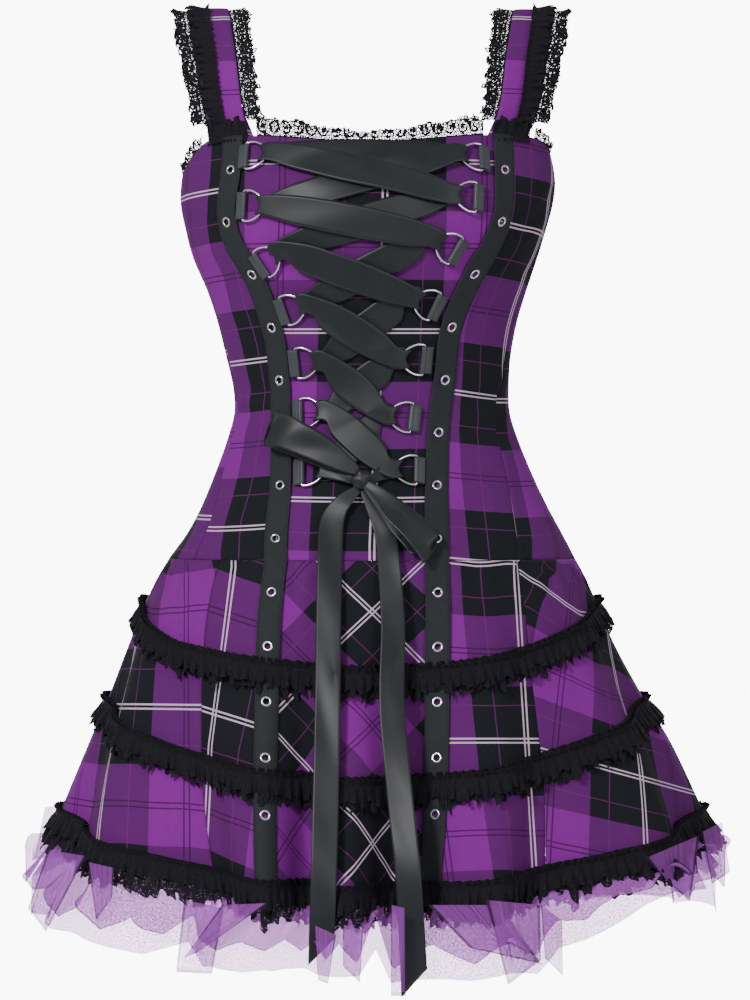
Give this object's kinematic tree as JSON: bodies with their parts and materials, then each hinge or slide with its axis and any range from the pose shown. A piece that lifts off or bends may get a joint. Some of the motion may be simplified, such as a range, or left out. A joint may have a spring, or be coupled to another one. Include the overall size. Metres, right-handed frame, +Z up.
{
  "type": "plaid lace-up mini dress",
  "caption": "Sleeveless plaid mini dress with a fitted, ribbon-laced bodice, eyelet bands, a flared skirt with lace rows and a tulle hem.",
  "frame": {"origin": "middle point between the tops of the two shoulder straps", "axes": "+Z up along the dress, -Y out of the front, +X to the right of someone who looks at the front"},
  "size_m": [0.679, 0.5903, 0.9175],
  "materials": {
    "plaid": "woven purple and black plaid, matt",
    "band": "black cotton twill, matt",
    "lace": "gathered black lace",
    "tulle": "lilac tulle net with black edge",
    "satin": "satin ribbon, soft sheen",
    "metal": "polished nickel"
  },
  "bodies": {
    "root": {"armhole_lace_L": "lace", "armhole_lace_R": "lace", "band_L": "band", "band_R": "band", "bodice_back_L": "plaid", "bodice_back_R": "plaid", "bodice_front_center": "plaid", "bodice_side_L": "plaid", "bodice_side_R": "plaid", "bodice_side_front_L": "plaid", "bodice_side_front_R": "plaid", "bow_loop_L": "satin", "bow_loop_R": "satin", "d_ring_L1": "metal", "d_ring_L2": "metal", "d_ring_L3": "metal", "d_ring_L4": "metal", "d_ring_L5": "metal", "d_ring_L6": "metal", "d_ring_L7": "metal", "d_ring_R1": "metal", "d_ring_R2": "metal", "d_ring_R3": "metal", "d_ring_R4": "metal", "d_ring_R5": "metal", "d_ring_R6": "metal", "d_ring_R7": "metal", "hem_lace_back": "lace", "hem_lace_front": "lace", "lace_row_1": "lace", "lace_row_2": "lace", "neck_lace_back": "lace", "neck_lace_front": "lace", "ribbon_knot": "satin", "ribbon_lacing": "satin", "ribbon_tail_L": "satin", "ribbon_tail_R": "satin", "ring_tape_L": "satin", "ring_tape_R": "satin", "skirt_back_L": "plaid", "skirt_back_R": "plaid", "skirt_front_L": "plaid", "skirt_front_R": "plaid", "skirt_front_center": "plaid", "skirt_side_L": "plaid", "skirt_side_R": "plaid", "strap_L": "plaid", "strap_R": "plaid", "strap_lace_inner_L": "lace", "strap_lace_inner_R": "lace", "strap_lace_outer_L": "lace", "strap_lace_outer_R": "lace", "strap_lace_over_L": "lace", "strap_lace_over_R": "lace", "tulle_inner": "tulle", "tulle_outer": "tulle"}
  },
  "joints": []
}
